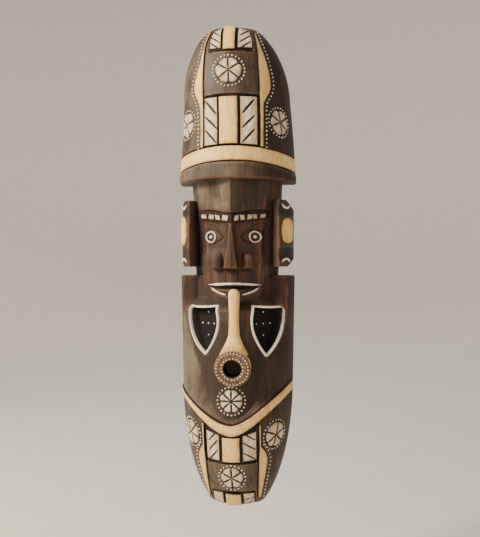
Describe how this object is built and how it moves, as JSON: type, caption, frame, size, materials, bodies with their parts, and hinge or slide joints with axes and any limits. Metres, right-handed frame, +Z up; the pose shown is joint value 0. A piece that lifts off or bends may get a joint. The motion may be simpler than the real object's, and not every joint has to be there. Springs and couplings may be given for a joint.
{
  "type": "carved wall mask",
  "caption": "Tall half-log wall mask of a pipe smoker in stained wood, with pale relief pieces, a hollowed back and a swinging hanger ring.",
  "frame": {"origin": "point where a wall hook carries the hanger ring, on the plane of the wall", "axes": "+Z up along the mask, -Y out of the face towards the viewer, +X to the viewer's right; the back lies on y = 0"},
  "size_m": [0.127, 0.0677, 0.5],
  "materials": {
    "stained_wood": "dark stained and waxed, hand carved",
    "pale_wood": "bare, knife cut, lightly waxed",
    "limed_wood": "bare, rubbed with white",
    "chalk_line": "white matt paint on wood",
    "bowl_wood": "reddish brown stain with white paint dots",
    "hanger_steel": "zinc plated"
  },
  "bodies": {
    "mask": {"carved_block": "stained_wood", "hat_band": "pale_wood", "hat_rib_left": "pale_wood", "hat_rib_right": "pale_wood", "crown_strip": "pale_wood", "crown_leaf_left": "limed_wood", "crown_leaf_right": "limed_wood", "hat_strip": "pale_wood", "hat_leaf_left": "limed_wood", "hat_leaf_right": "limed_wood", "hat_rosette_front": "limed_wood", "hat_rosette_left": "limed_wood", "hat_rosette_right": "limed_wood", "brow_left": "chalk_line", "brow_right": "chalk_line", "eye_ring_left": "chalk_line", "eye_ring_right": "chalk_line", "ear_plug_left": "pale_wood", "ear_plug_right": "pale_wood", "ear_crescents_left": "chalk_line", "ear_crescents_right": "chalk_line", "upper_lip_line": "chalk_line", "lower_lip_left": "chalk_line", "lower_lip_right": "chalk_line", "pipe_stem": "pale_wood", "pipe_bowl": "bowl_wood", "shield_frame_left": "chalk_line", "shield_frame_right": "chalk_line", "chest_rosette": "limed_wood", "collar": "pale_wood", "tail_strip": "pale_wood", "tail_leaf_left": "limed_wood", "tail_leaf_right": "limed_wood", "tail_rosette_front": "limed_wood", "tail_rosette_left": "limed_wood", "tail_rosette_right": "limed_wood", "tail_rib_left": "pale_wood", "tail_rib_right": "pale_wood", "tip_strip": "pale_wood", "tip_leaf_left": "limed_wood", "tip_leaf_right": "limed_wood", "hanger_strap": "hanger_steel", "hanger_screws": "hanger_steel"},
    "ring": {"hanger_ring": "hanger_steel"}
  },
  "joints": [
    {"name": "ring_swing", "type": "hinge", "parent": "mask", "child": "ring", "pos_m": [0, -0.0063, -0.00871], "axis": [-1, 0, 0], "range_deg": [0, 160]}
  ]
}
